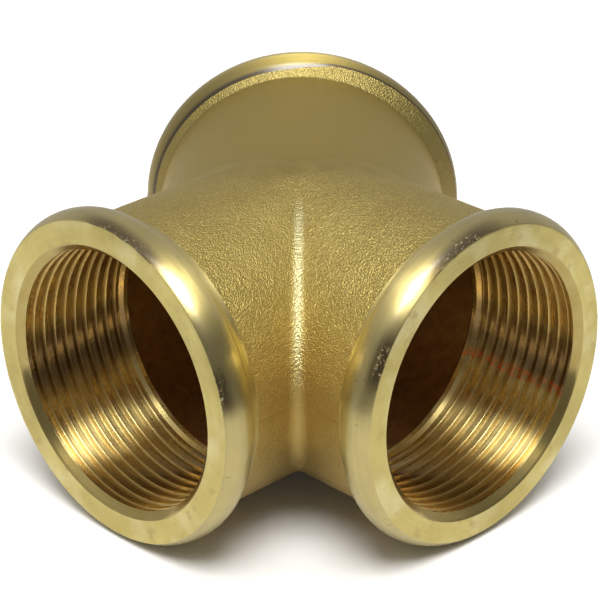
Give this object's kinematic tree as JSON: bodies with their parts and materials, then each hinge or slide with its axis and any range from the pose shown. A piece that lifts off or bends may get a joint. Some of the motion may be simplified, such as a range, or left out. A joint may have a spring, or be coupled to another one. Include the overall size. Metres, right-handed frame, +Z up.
{
  "type": "pipe tee fitting",
  "caption": "Forged brass Y-pattern tee that joins pipes at three internally threaded ports, with a turned bead around each mouth.",
  "frame": {"origin": "middle of the fitting's footprint, on the plane that its three beads stand on", "axes": "+Y out of the rear port, +X towards the right front port, +Z up; the three port axes lie in one level plane 29.6 mm above the origin"},
  "size_m": [0.1032, 0.0984, 0.0592],
  "materials": {
    "brass": "shot-blasted forged skin, with turned and polished beads, faces and threads"
  },
  "bodies": {
    "root": {"body": "brass"}
  },
  "joints": []
}
